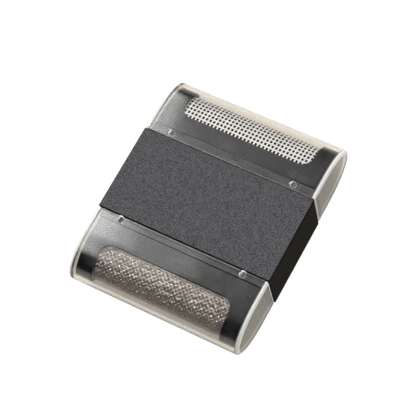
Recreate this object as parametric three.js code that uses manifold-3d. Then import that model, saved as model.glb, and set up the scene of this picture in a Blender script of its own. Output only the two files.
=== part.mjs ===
// A pocket fabric shaver worked by hand, with a shaving head at each end of a flat black grip.
// The rear head (+Y) carries a coarse foil and the front head (-Y) a fine one. Each head is a
// cartridge that plugs into the grip, and a clear cap slides over it. The lint falls through the
// foil into the grip, where a divider keeps the two lint bins apart.
//
// Millimetres, +Z up. The origin is on the resting face, below the middle of the grip.

import * as THREE from 'three';
import { mergeVertices } from 'three/addons/utils/BufferGeometryUtils.js';
import Module from 'manifold-3d';

const wasm = await Module();
wasm.setup();

// ---- Driving dimensions ----

const overallLength = 105; // Y, from nose to nose
const bodyWidth = 85; // X
const bodyThickness = 25; // Z
const capReach = 31.5; // Y, from the grip's end face to the tip of a cap
const noseReach = 20; // Y, the length of each cap's elliptical nose

// Wall thicknesses
const capWall = 1.6;
const shoulderWall = 1.5; // Y, the grip's end walls and the heads' shoulders
const casingWall = 1.8;
const neckWall = 1.2;
const headWall = 1.5;
const spigotWall = 1.0;
const supportWall = 1.2;
const dividerThickness = 1.6;

// Clearances
const capInset = 0.2; // the caps lie this far below the grip's faces
const mouthGap = 0.3; // between a cap's mouth and the grip's shoulder
const capClearance = 0.45; // between a cap and the neck inside it
const headStep = 0.3; // the head's faces lie this far below the neck's
const seamGap = 0.25; // between the neck's end and the head's shoulder
const spigotClearance = 0.15; // between the spigot and the neck around it
const foilGap = 0.1; // on either side of a foil
const fitGap = 0.2; // between fixed pieces that meet

// Casing
const lidRim = 0.8; // height of the lid's edge that shows on the sides
const lidSeam = 0.4; // shadow gap below that edge
const lipWidth = 0.9; // width of the tray's lip that hides the lid's inner step
const lidEdge = 0.3; // small bevel round the lid's top
const guideRibWidth = 1.2;
const guideRibSpacing = 26; // X, from one guide rib to the next
const slotReach = 1.5; // X, how far the divider's slots stand out of the side walls
const slotWall = 1.2;

// Caps
const capEdgeRadius = 1.2;
const nubRadius = 1.35; // low round snap nubs inside the cap
const nubGap = 0.05; // between a nub's crest and the neck's face
const nubInset = 12; // X, from the grip's side to a nub's centre
const nubSeatMargin = 0.1; // a nub's seat in the neck is this much wider than the nub
const nubSeatDepth = 0.25;

// Heads
const headEdgeRadius = 0.6;
const cheekWidth = 7.6; // X, from the head's side to the window
const windowReach = 18.2; // Y, from the tip of the cap back to the window's straight edge
const windowCorner = 5.5;
const foilThickness = { coarse: 0.5, fine: 0.4 };
const foilSideGap = 1.6; // X, between the foil's ends and the head's side walls
const supportOverhang = 2; // Y, the support reaches this far behind the foil's straight edges
const supportRibDepth = 3;
const supportRibWidth = 1.2;
const supportRibSpacing = 22;
const tongueWidth = 7; // snap tongues in the spigot
const tongueSpacing = 40;
const tongueSlot = 0.8;
const tongueLength = 7;
const ridgeHeight = 0.1;
const ridgeWidth = 0.8;

// Key lug, so that each head fits its own end only
const keyWidth = 3;
const keyLength = 2.2;
const keyOffset = 1.7; // X, from the middle

// Screws
const casingScrew = { shank: 1.2, head: 2.3, headHeight: 1.8, length: 13 };
const supportScrew = { shank: 0.85, head: 1.7, headHeight: 1.3, length: 8 };
const threadGap = 0.1; // between a shank and its pilot hole
const clearanceGap = 0.3; // between a shank or a head and the hole it passes through
const bossWall = 1.5;
const counterboreWall = 0.9;
const bossInset = 6.5; // X, from the grip's side to a boss's middle
const bossClearance = 2.2; // Y, from a boss to the divider and to the spigots
const screwRecess = 5; // depth of the counterbore under the grip
const supportBossRadius = 1.8;
const supportWebHalf = 1; // half the thickness of the web that carries a boss
const earThickness = 1.6; // the foil support's screw ears
const earHalf = 3.2;
const boreSpare = 1.5; // room past a screw's tip
const screwLift = 0.1; // between a screw's head and the face it bears on

// The two ends. The front group is turned half a turn about Z, so both are drawn along +Y.
const ends = [
  { name: 'coarse', turn: 0, neckLength: 5.1, nubSetback: 3.0, keyed: true },
  { name: 'fine', turn: Math.PI, neckLength: 3.4, nubSetback: 1.9, keyed: false },
];

// ---- Derived places ----

const midHeight = bodyThickness / 2;
const gripHalf = overallLength / 2 - capReach; // Y, half the length of the grip between the caps
const noseCentre = overallLength / 2 - noseReach;
const capHalfWidth = bodyWidth / 2 - capInset;
const capHalfHeight = midHeight - capInset;

// How far each layer lies below the cap's outer surface
const neckDepth = capWall + capClearance;
const headDepth = neckDepth + headStep;
const foilDepth = headDepth + headWall + foilGap;
const supportDepth = foilDepth + Math.max(...Object.values(foilThickness)) + foilGap;
const neckBoreDepth = neckDepth + neckWall;
const spigotDepth = neckBoreDepth + spigotClearance;
const spigotBoreDepth = spigotDepth + spigotWall;

const halfWidthAt = (depth) => capHalfWidth - depth;
const halfHeightAt = (depth) => capHalfHeight - depth;

const casingTop = bodyThickness - lidRim - lidSeam; // top of the tray's outer lip
const lidUnderside = bodyThickness - casingWall;
const trayCutHeight = midHeight + halfHeightAt(neckBoreDepth) - fitGap; // the lid's necks start above

const nubHeight = capClearance - nubGap;
const nubX = bodyWidth / 2 - nubInset;
const windowHalf = halfWidthAt(headDepth) - cheekWidth;
const windowStart = overallLength / 2 - windowReach;
const seamAt = (end) => gripHalf + end.neckLength + seamGap; // Y of the head's shoulder
const foilStartAt = (end) => seamAt(end) + shoulderWall + fitGap;
const supportStartAt = (end) => foilStartAt(end) - supportOverhang;

const lowerBossRadius = casingScrew.head + clearanceGap + counterboreWall;
const upperBossRadius = casingScrew.shank + threadGap + bossWall;
const bossY = dividerThickness / 2 + bossClearance + lowerBossRadius;
const spigotEnd = bossY + lowerBossRadius + bossClearance; // Y, where both spigots end
const bossSplit = midHeight; // height at which the lower and upper bosses meet

const supportBossX = halfWidthAt(spigotBoreDepth) - fitGap - supportBossRadius;
const earStartAt = (end) => supportStartAt(end) + supportScrew.headHeight;
const supportBossStartAt = (end) => earStartAt(end) + earThickness + fitGap;

const beyond = 200; // longer than anything it cuts
const overlap = 0.5; // joined solids run this far into each other

const noseSegments = 10; // facets in a quarter of a nose
const cornerSegments = 3; // facets in half of a window corner
const nubRings = 3; // rings of facets on a nub

// ---- Solids ----

/** Turns a closed three.js geometry into a manifold-3d solid. */
function solidFrom(geometry) {
  const bare = geometry.index ? geometry.toNonIndexed() : geometry.clone();
  bare.deleteAttribute('normal');
  bare.deleteAttribute('uv');
  const merged = mergeVertices(bare, 1e-4);
  return new wasm.Manifold(
    new wasm.Mesh({
      numProp: 3,
      vertProperties: new Float32Array(merged.attributes.position.array),
      triVerts: new Uint32Array(merged.index.array),
    }),
  );
}

/** Turns a manifold-3d solid back into a three.js geometry. */
function geometryFrom(solid) {
  const mesh = solid.getMesh();
  const geometry = new THREE.BufferGeometry();
  geometry.setAttribute('position', new THREE.BufferAttribute(mesh.vertProperties, 3));
  geometry.setIndex(new THREE.BufferAttribute(mesh.triVerts, 1));
  geometry.computeVertexNormals();
  return geometry;
}

/** A box that spans three pairs of values, each in either order. */
function block(...spans) {
  const [xs, ys, zs] = spans.map((pair) => pair.toSorted((a, b) => a - b));
  const box = new THREE.BoxGeometry(xs[1] - xs[0], ys[1] - ys[0], zs[1] - zs[0]);
  return solidFrom(box.translate((xs[0] + xs[1]) / 2, (ys[0] + ys[1]) / 2, (zs[0] + zs[1]) / 2));
}

/** A round post between two heights, or between two Y values where it is lying. */
function post(radius, from, to, { x = 0, y = 0, z = 0, lying = false, sides = 16 } = {}) {
  const cylinder = new THREE.CylinderGeometry(radius, radius, to - from, sides);
  cylinder.translate(0, (from + to) / 2, 0);
  if (lying) return solidFrom(cylinder.translate(x, 0, z));
  return solidFrom(cylinder.rotateX(Math.PI / 2).translate(x, y, 0));
}

const joined = (solids) => solids.reduce((whole, next) => whole.add(next));
const bothSigns = (value) => [-value, value];
const around = (middle, half) => [middle - half, middle + half];
const aboveMid = (...heights) => heights.map((height) => midHeight + height);

/** The side outline of a layer: flat faces from the grip's middle, closed by an elliptical nose. */
function noseOutline(depth) {
  const half = halfHeightAt(depth);
  const outline = new THREE.Shape();
  outline.moveTo(0, -half);
  outline.lineTo(noseCentre, -half);
  outline.absellipse(noseCentre, 0, noseReach - depth, half, -Math.PI / 2, Math.PI / 2, false, 0);
  outline.lineTo(0, half);
  outline.closePath();
  return outline;
}

/** A layer as a solid from yStart on, across the span xs, its long edges rounded to edgeRadius. */
function noseSolid(depth, yStart, xs, edgeRadius = 0) {
  const [x0, x1] = xs.toSorted((a, b) => a - b);
  const geometry = new THREE.ExtrudeGeometry(noseOutline(depth), {
    depth: x1 - x0 - 2 * edgeRadius,
    curveSegments: noseSegments,
    bevelEnabled: edgeRadius > 0,
    bevelThickness: edgeRadius,
    bevelSize: edgeRadius,
    bevelOffset: -edgeRadius,
    bevelSegments: 3,
  });
  const outlineToWorld = new THREE.Matrix4().makeBasis(
    new THREE.Vector3(0, 1, 0),
    new THREE.Vector3(0, 0, 1),
    new THREE.Vector3(1, 0, 0),
  );
  geometry.translate(0, 0, x0 + edgeRadius).applyMatrix4(outlineToWorld).translate(0, 0, midHeight);
  const kept = block(bothSigns(beyond), [yStart, beyond], bothSigns(beyond));
  return solidFrom(geometry).intersect(kept);
}

/** A bent sheet: the layer between two depths, from yStart round the nose, across the span xs. */
function noseSheet(depth, thickness, yStart, xs) {
  return noseSolid(depth, yStart, xs).subtract(
    noseSolid(depth + thickness, yStart - overlap, bothSigns(beyond)),
  );
}

/** A rectangular duct of a layer's height and width across the span ys. */
function duct(depth, ys) {
  return block(bothSigns(halfWidthAt(depth)), ys, aboveMid(...bothSigns(halfHeightAt(depth))));
}

/** The window's rounded opening as an upright prism that runs out past the nose. */
function windowPrism(margin) {
  const half = windowHalf + margin;
  const start = windowStart - margin;
  const outline = new THREE.Shape();
  outline.moveTo(-half, beyond);
  outline.lineTo(-half, start + windowCorner);
  outline.absarc(-half + windowCorner, start + windowCorner, windowCorner, Math.PI, 1.5 * Math.PI);
  outline.lineTo(half - windowCorner, start);
  outline.absarc(half - windowCorner, start + windowCorner, windowCorner, -Math.PI / 2, 0);
  outline.lineTo(half, beyond);
  outline.closePath();
  const geometry = new THREE.ExtrudeGeometry(outline, {
    depth: 2 * bodyThickness,
    curveSegments: cornerSegments,
    bevelEnabled: false,
  });
  return solidFrom(geometry.translate(0, 0, -bodyThickness / 2));
}

/** A pan-head screw along +Z with its head's bearing face at the origin. */
function screw({ shank, head, headHeight, length }) {
  const slotWidth = head * 0.15;
  const slotReach = head * 0.55;
  const slotDepth = headHeight * 0.55;
  const slot = (w, d) => block(bothSigns(w), bothSigns(d), [-beyond, -headHeight + slotDepth]);
  const pan = new THREE.CylinderGeometry(head, head * 0.8, headHeight, 16);
  return solidFrom(pan.rotateX(Math.PI / 2).translate(0, 0, -headHeight / 2))
    .add(post(shank, -headHeight / 2, length, { sides: 12 }))
    .subtract(slot(slotWidth, slotReach))
    .subtract(slot(slotReach, slotWidth));
}

// ---- Materials ----

const plastic = (color, roughness) =>
  new THREE.MeshStandardMaterial({ color, roughness, metalness: 0 });
const metal = (color, roughness) =>
  new THREE.MeshStandardMaterial({ color, roughness, metalness: 0.9 });
const clear = (color, roughness, opacity) =>
  new THREE.MeshStandardMaterial({ color, roughness, metalness: 0, transparent: true, opacity });

function namedMesh(name, solid, material) {
  const mesh = new THREE.Mesh(geometryFrom(solid), material);
  mesh.name = name;
  return mesh;
}

// ---- Casing ----

const neckEnds = ends.map((end) => (end.turn ? -1 : 1) * (gripHalf + end.neckLength));
const bossPlaces = bothSigns(bodyWidth / 2 - bossInset).flatMap((x) =>
  bothSigns(bossY).map((y) => ({ x, y })),
);

/** Ribs behind the end walls that carry the heads' spigots, across the span zs. */
function guideRibs(zs) {
  const half = guideRibWidth / 2;
  const wallFace = gripHalf - shoulderWall;
  const ribs = [-guideRibSpacing, 0, guideRibSpacing].flatMap((x) =>
    [-1, 1].map((side) =>
      block(around(x, half), [side * spigotEnd, side * (wallFace + overlap)], zs),
    ),
  );
  return joined(ribs);
}

/** Shallow round seats for the caps' nubs, in both faces of both necks. */
function nubSeats() {
  const floor = halfHeightAt(neckDepth) - nubSeatDepth;
  const seats = bothSigns(nubX).flatMap((x) =>
    ends.flatMap((end) => {
      const y = (end.turn ? -1 : 1) * (gripHalf + end.nubSetback);
      const radius = nubRadius + nubSeatMargin;
      return [
        post(radius, midHeight + floor, lidUnderside, { x, y }),
        post(radius, bodyThickness - lidUnderside, midHeight - floor, { x, y }),
      ];
    }),
  );
  return joined(seats);
}

/** The tray: floor, side walls, and the lower three sides of both necks. */
function lowerCasing() {
  const half = bodyWidth / 2;
  const inner = half - casingWall;
  const endWall = gripHalf - shoulderWall;
  const tray = block(bothSigns(half), bothSigns(gripHalf), [0, casingTop])
    .add(duct(neckDepth, neckEnds))
    .subtract(block(bothSigns(inner), bothSigns(endWall), [casingWall, beyond]))
    .subtract(duct(neckBoreDepth, bothSigns(beyond)))
    .subtract(block(bothSigns(half - lipWidth), bothSigns(gripHalf), [lidUnderside - fitGap, beyond]))
    .subtract(
      block(bothSigns(halfWidthAt(neckDepth) + fitGap), bothSigns(beyond), [trayCutHeight, beyond]),
    );

  const slotFace = dividerThickness / 2 + fitGap / 2;
  const slots = [-1, 1].flatMap((side) =>
    [-1, 1].map((face) =>
      block(
        [side * (inner + overlap), side * (inner - slotReach)],
        [face * slotFace, face * (slotFace + slotWall)],
        [casingWall - overlap, lidUnderside - slotWall],
      ),
    ),
  );
  const ribs = guideRibs([casingWall - overlap, midHeight - halfHeightAt(neckBoreDepth)]);
  const bosses = bossPlaces.map((place) => post(lowerBossRadius, overlap, bossSplit, place));
  const holes = bossPlaces.flatMap((place) => [
    post(casingScrew.shank + clearanceGap, -overlap, bodyThickness, place),
    post(casingScrew.head + clearanceGap, -overlap, screwRecess, place),
  ]);
  return joined([tray, ribs, ...slots, ...bosses]).subtract(joined(holes)).subtract(nubSeats());
}

/** The lid's plate, with a small bevel round its top edge. */
function lidPlate() {
  const half = bodyWidth / 2;
  const edge = bodyThickness - lidEdge;
  const top = new THREE.BoxGeometry(2 * half, 2 * gripHalf, 2 * lidEdge).toNonIndexed();
  const points = top.attributes.position;
  for (let i = 0; i < points.count; i += 1) {
    if (points.getZ(i) > 0) {
      points.setX(i, points.getX(i) - Math.sign(points.getX(i)) * lidEdge);
      points.setY(i, points.getY(i) - Math.sign(points.getY(i)) * lidEdge);
    }
    points.setZ(i, Math.max(points.getZ(i), 0));
  }
  return block(bothSigns(half), bothSigns(gripHalf), [bodyThickness - lidRim, edge]).add(
    solidFrom(top.translate(0, 0, edge)),
  );
}

/** The lid: top plate, end walls, and the upper side of both necks. */
function upperCasing() {
  const neckSpan = bothSigns(halfWidthAt(neckDepth));
  const [neckUnder, neckTop] = aboveMid(halfHeightAt(neckBoreDepth), halfHeightAt(neckDepth));
  const endWall = gripHalf - shoulderWall;
  const step = bodyWidth / 2 - lipWidth - fitGap;
  const inner = block(bothSigns(step), bothSigns(gripHalf), [lidUnderside, bodyThickness - lidEdge]);
  const endsOfLid = neckEnds.flatMap((neckEnd) => {
    const side = Math.sign(neckEnd);
    return [
      block(neckSpan, [side * endWall, side * gripHalf], [neckUnder, lidUnderside + overlap]),
      block(neckSpan, [side * endWall, neckEnd], [neckUnder, neckTop]),
    ];
  });
  const ribs = guideRibs([neckUnder, lidUnderside + overlap]);
  const bosses = bossPlaces.map((place) =>
    post(upperBossRadius, bossSplit + fitGap, lidUnderside + overlap, place),
  );
  const pilotTop = screwRecess + casingScrew.length + boreSpare;
  const pilots = bossPlaces.map((place) =>
    post(casingScrew.shank + threadGap, 0, pilotTop, { ...place, sides: 12 }),
  );
  const keyEnd = gripHalf + ends[0].neckLength;
  const keyNotch = block(
    around(keyOffset, keyWidth / 2 + fitGap),
    [keyEnd - keyLength, keyEnd + overlap],
    [neckUnder - overlap, neckTop + overlap],
  );
  return joined([lidPlate(), inner, ...endsOfLid, ribs, ...bosses])
    .subtract(joined(pilots))
    .subtract(nubSeats())
    .subtract(keyNotch);
}

/** The plate that keeps the two lint bins apart. It drops into slots in the tray's sides. */
function divider() {
  return block(
    bothSigns(bodyWidth / 2 - casingWall - fitGap),
    bothSigns(dividerThickness / 2),
    [casingWall + fitGap / 2, lidUnderside - fitGap / 2],
  );
}

function makeCasing() {
  const black = plastic(0x3c3b3d, 0.75);
  const group = new THREE.Group();
  group.add(
    namedMesh('lower_casing', lowerCasing(), black),
    namedMesh('upper_casing', upperCasing(), black),
    namedMesh('divider_plate', divider(), plastic(0x1d1d1e, 0.6)),
  );
  bossPlaces.forEach(({ x, y }, i) => {
    const fastener = namedMesh(`casing_screw_${i + 1}`, screw(casingScrew), metal(0x9a9a98, 0.35));
    fastener.position.set(x, y, screwRecess - screwLift);
    group.add(fastener);
  });
  return group;
}

// ---- Heads ----

/** Pairs of slots that free a snap tongue in each broad face of the spigot. */
function tongueSlots() {
  const slots = bothSigns(tongueSpacing / 2).flatMap((tongue) =>
    bothSigns(tongueWidth / 2).map((side) =>
      block(
        around(tongue + side, tongueSlot / 2),
        [spigotEnd - overlap, spigotEnd + tongueLength],
        [0, bodyThickness],
      ),
    ),
  );
  return joined(slots);
}

/** Low ridges on the ends of the snap tongues, which rub inside the neck. */
function snapRidges() {
  const face = halfHeightAt(spigotDepth);
  const half = tongueWidth / 2 - tongueSlot;
  const ridges = bothSigns(tongueSpacing / 2).flatMap((x) =>
    [-1, 1].map((side) =>
      block(
        around(x, half),
        [spigotEnd + ridgeWidth, spigotEnd + 2 * ridgeWidth],
        aboveMid(side * (face - spigotWall / 2), side * (face + ridgeHeight)),
      ),
    ),
  );
  return joined(ridges);
}

/** The lug on a keyed head's shoulder, which sits in the notch of the lid's neck. */
function keyLug(seam) {
  return block(
    around(keyOffset, keyWidth / 2),
    [seam - keyLength, seam + overlap],
    aboveMid(halfHeightAt(spigotDepth) - spigotWall / 2, halfHeightAt(headDepth)),
  );
}

/** The screw bosses inside the head's cheeks, each on a web, with their pilot holes. */
function supportBosses(end) {
  const start = supportBossStartAt(end);
  const pilotEnd = earStartAt(end) + supportScrew.length + boreSpare;
  const stop = pilotEnd + boreSpare;
  const wall = halfWidthAt(headDepth + headWall) + overlap;
  const makeBoss = (x) => {
    const place = { x, z: midHeight, lying: true };
    const web = block([x, Math.sign(x) * wall], [start, stop], aboveMid(...bothSigns(supportWebHalf)));
    return {
      boss: post(supportBossRadius, start, stop, place).add(web),
      pilot: post(supportScrew.shank + threadGap, start - overlap, pilotEnd, { ...place, sides: 12 }),
    };
  };
  return bothSigns(supportBossX).map(makeBoss);
}

/** The black nose shell with its window, and the spigot that plugs into the grip. */
function headShell(end) {
  const seam = seamAt(end);
  const innerStart = seam + shoulderWall;
  const innerDepth = headDepth + headWall;
  const shell = noseSolid(headDepth, seam, bothSigns(halfWidthAt(headDepth)), headEdgeRadius)
    .add(duct(spigotDepth, [spigotEnd, seam + overlap]))
    .subtract(noseSolid(innerDepth, innerStart, bothSigns(halfWidthAt(innerDepth))))
    .subtract(duct(spigotBoreDepth, [spigotEnd - overlap, innerStart + overlap]))
    .subtract(windowPrism(0))
    .subtract(tongueSlots())
    .add(snapRidges());
  const bossed = supportBosses(end).reduce(
    (whole, { boss, pilot }) => whole.add(boss).subtract(pilot),
    shell,
  );
  return end.keyed ? bossed.add(keyLug(seam)) : bossed;
}

/** The shaving foil: a thin sheet bent round the nose, without its perforation. */
function foil(end) {
  const half = halfWidthAt(headDepth + headWall) - foilSideGap;
  return noseSheet(foilDepth, foilThickness[end.name], foilStartAt(end), bothSigns(half));
}

/** The frame that holds the foil's bend from inside: a bent border, ribs, cheeks and screw ears. */
function foilSupport(end) {
  const start = supportStartAt(end);
  const half = halfWidthAt(spigotBoreDepth) - fitGap;
  const border = noseSheet(supportDepth, supportWall, start, bothSigns(half)).subtract(
    windowPrism(fitGap),
  );
  const cheekInner = windowHalf + fitGap / 2;
  const cheekOuter = supportBossX - supportBossRadius - fitGap;
  const earStart = earStartAt(end);
  const makeSide = (side) => {
    const cheek = noseSolid(supportDepth, start, [side * cheekInner, side * cheekOuter]);
    const rib = noseSheet(
      supportDepth + fitGap,
      supportRibDepth,
      start,
      around((side * supportRibSpacing) / 2, supportRibWidth / 2),
    );
    const ear = block(
      [side * (cheekOuter - overlap), side * half],
      [earStart, earStart + earThickness],
      aboveMid(...bothSigns(earHalf)),
    );
    const hole = post(
      supportScrew.shank + clearanceGap,
      earStart - overlap,
      earStart + earThickness + overlap,
      { x: side * supportBossX, z: midHeight, lying: true },
    );
    return cheek.add(rib).add(ear.subtract(hole));
  };
  return joined([border, makeSide(-1), makeSide(1)]);
}

// ---- Caps ----

/** A low dome that stands on the inside of a cap's face, pointing down from above or up from below. */
function nub(x, y, face) {
  const ball = (nubRadius ** 2 + nubHeight ** 2) / (2 * nubHeight);
  const profile = [new THREE.Vector2(0, -capWall / 2), new THREE.Vector2(nubRadius, -capWall / 2)];
  for (let i = 0; i <= nubRings; i += 1) {
    const radius = nubRadius * (1 - i / nubRings);
    const height = Math.sqrt(ball ** 2 - radius ** 2) - ball + nubHeight;
    profile.push(new THREE.Vector2(radius, height));
  }
  const dome = new THREE.LatheGeometry(profile, 16).rotateX((-face * Math.PI) / 2);
  return solidFrom(dome.translate(x, y, midHeight + face * halfHeightAt(capWall)));
}

/** The clear cap: a hollow nose, open towards the grip, with four low snap nubs inside. */
function cap(end) {
  const outside = noseSolid(0, gripHalf + mouthGap, bothSigns(capHalfWidth), capEdgeRadius);
  const hollow = noseSolid(capWall, gripHalf - overlap, bothSigns(halfWidthAt(capWall)));
  const nubs = bothSigns(nubX).flatMap((x) =>
    [-1, 1].map((face) => nub(x, gripHalf + end.nubSetback, face)),
  );
  return outside.subtract(hollow).add(joined(nubs));
}

function makeHead(end, foilMaterial) {
  const { name } = end;
  const group = new THREE.Group();
  group.rotation.z = end.turn;
  group.add(
    namedMesh(`${name}_head_shell`, headShell(end), plastic(0x2c2d2f, 0.4)),
    namedMesh(`${name}_foil`, foil(end), foilMaterial),
    namedMesh(`${name}_foil_support`, foilSupport(end), plastic(0x1d1d1e, 0.6)),
    namedMesh(`${name}_cap`, cap(end), clear(0xe9e6e0, 0.12, 0.3)),
  );
  [-1, 1].forEach((side) => {
    const label = side < 0 ? 'left' : 'right';
    const material = metal(0x9a9a98, 0.35);
    const fastener = namedMesh(`${name}_support_screw_${label}`, screw(supportScrew), material);
    fastener.rotation.x = -Math.PI / 2;
    fastener.position.set(side * supportBossX, earStartAt(end) - screwLift, midHeight);
    group.add(fastener);
  });
  return group;
}

// ---- Assembly ----

const foilMaterials = {
  coarse: new THREE.MeshStandardMaterial({ color: 0xf1efe9, roughness: 0.45, metalness: 0.1 }),
  fine: metal(0x9c8f84, 0.35),
};
const shaver = new THREE.Group();
shaver.add(makeCasing());
for (const end of ends) shaver.add(makeHead(end, foilMaterials[end.name]));

export default shaver;
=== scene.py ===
"""A pocket fabric shaver worked by hand: a flat grained grip with a shaving head at each end.

The rear head (+Y) has a coarse punched foil and the front head (-Y) a fine woven one, and a
clear cap slides over each. Metres, +Z up, the origin under the middle of the grip.
"""

import logging
import math
from dataclasses import dataclass
from enum import Enum
from typing import Callable, Dict, List, Optional, Tuple, Union

import bmesh
import bpy
from mathutils import Matrix, Vector


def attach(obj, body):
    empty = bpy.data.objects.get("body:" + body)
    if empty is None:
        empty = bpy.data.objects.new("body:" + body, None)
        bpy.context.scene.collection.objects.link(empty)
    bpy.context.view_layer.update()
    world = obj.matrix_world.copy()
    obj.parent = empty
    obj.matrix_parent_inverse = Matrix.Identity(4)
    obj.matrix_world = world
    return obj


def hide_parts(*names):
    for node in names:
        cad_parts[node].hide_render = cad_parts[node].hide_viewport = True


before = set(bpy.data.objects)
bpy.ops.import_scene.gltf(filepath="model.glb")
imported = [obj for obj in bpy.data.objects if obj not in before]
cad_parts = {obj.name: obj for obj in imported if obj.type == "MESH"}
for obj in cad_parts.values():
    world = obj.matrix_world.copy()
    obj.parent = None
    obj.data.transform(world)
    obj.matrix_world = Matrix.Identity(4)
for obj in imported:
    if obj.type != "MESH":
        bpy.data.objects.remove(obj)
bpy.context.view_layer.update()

LOG = logging.getLogger("fabric_shaver")
MM = 0.001
TINY = 1e-6
PLASTIC_IOR = 1.5

Span = Tuple[float, float]
Fade = Tuple[float, float, float, float]
Colour = Tuple[float, float, float, float]
Mixable = Union["Term", float, Colour, Tuple[float, float, float]]


class End(Enum):
    """The two ends of the shaver, by the foil that each carries."""

    COARSE = "coarse"
    FINE = "fine"


class Join(Enum):
    """How one solid is worked into another."""

    ADD = "UNION"
    CUT = "DIFFERENCE"


@dataclass(frozen=True)
class EndSizes:
    """What differs from one end to the other."""

    end: End
    neck_length: float
    nub_setback: float
    keyed: bool

    @property
    def name(self) -> str:
        """The end's name, as its pieces and bodies begin."""
        return self.end.value

    @property
    def turned(self) -> bool:
        """True for the end that lies along -Y."""
        return self.end is End.FINE


@dataclass(frozen=True)
class ShaverSizes:
    """The sizes that the pieces share."""

    half_width: float = 42.5 * MM
    grip_half: float = 21 * MM
    mid_height: float = 12.5 * MM
    cap_inset: float = 0.2 * MM
    nose_centre: float = 32.5 * MM
    nose_reach: float = 20 * MM
    mouth: float = 21.4 * MM
    cap_wall: float = 1.6 * MM
    cap_edge: float = 1.2 * MM
    head_depth: float = 2.35 * MM
    head_wall: float = 1.5 * MM
    foil_depth: float = 3.95 * MM
    spigot_depth: float = 3.4 * MM
    spigot_bore_depth: float = 4.4 * MM
    spigot_end: float = 12.2 * MM
    seam_gap: float = 0.5 * MM
    shoulder: float = 1.5 * MM
    foil_clearance: float = 0.2 * MM
    foil_half: float = 36.85 * MM
    overlap: float = 0.5 * MM
    run_out: float = 1 * MM
    head_edge: float = 0.6 * MM
    window_half: float = 32.35 * MM
    window_start: float = 34.3 * MM
    window_corner: float = 5.5 * MM

    def half_width_at(self, depth: float) -> float:
        """Half the width of the layer that lies this deep below a cap's outer face."""
        return self.half_width - self.cap_inset - depth

    def half_height_at(self, depth: float) -> float:
        """Half the height of the layer that lies this deep below a cap's outer face."""
        return self.mid_height - self.cap_inset - depth

    def seam(self, end: EndSizes) -> float:
        """Y of the line where a head's shoulder meets the neck."""
        return self.grip_half + end.neck_length + self.seam_gap


SIZES = ShaverSizes()
COARSE = EndSizes(End.COARSE, neck_length=5.1 * MM, nub_setback=3.0 * MM, keyed=True)
FINE = EndSizes(End.FINE, neck_length=3.4 * MM, nub_setback=1.9 * MM, keyed=False)


# ---- Finishes ----


class Term:
    """A shader socket that can stand in a Python expression."""

    def __init__(self, recipe: "Recipe", socket: Optional[bpy.types.NodeSocket]) -> None:
        """Wraps an output socket of the recipe's node tree; an output node has none."""
        self.recipe = recipe
        self.socket = socket

    def _math(self, operation: str, first: Mixable, second: Mixable) -> "Term":
        """One Math node on two values."""
        return self.recipe.node(
            "ShaderNodeMath", {"operation": operation}, {0: first, 1: second}
        )

    def __add__(self, other: Mixable) -> "Term":
        """self + other."""
        return self._math("ADD", self, other)

    def __radd__(self, other: Mixable) -> "Term":
        """other + self."""
        return self._math("ADD", other, self)

    def __sub__(self, other: Mixable) -> "Term":
        """self - other."""
        return self._math("SUBTRACT", self, other)

    def __rsub__(self, other: Mixable) -> "Term":
        """other - self."""
        return self._math("SUBTRACT", other, self)

    def __mul__(self, other: Mixable) -> "Term":
        """self * other."""
        return self._math("MULTIPLY", self, other)

    def __rmul__(self, other: Mixable) -> "Term":
        """other * self."""
        return self._math("MULTIPLY", other, self)

    def __truediv__(self, other: Mixable) -> "Term":
        """self / other."""
        return self._math("DIVIDE", self, other)

    def __rtruediv__(self, other: Mixable) -> "Term":
        """other / self."""
        return self._math("DIVIDE", other, self)

    def __abs__(self) -> "Term":
        """The value without its sign."""
        return self._math("ABSOLUTE", self, 0.0)

    def at_least(self, floor: Mixable) -> "Term":
        """The larger of the two values."""
        return self._math("MAXIMUM", self, floor)

    def ramped(self, low: float, high: float) -> "Term":
        """0 up to low, 1 from high on, with a smooth passage between; low may be the larger."""
        return self.recipe.node(
            "ShaderNodeMapRange",
            {"interpolation_type": "SMOOTHSTEP"},
            {"Value": self, "From Min": low, "From Max": high},
        )


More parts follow.
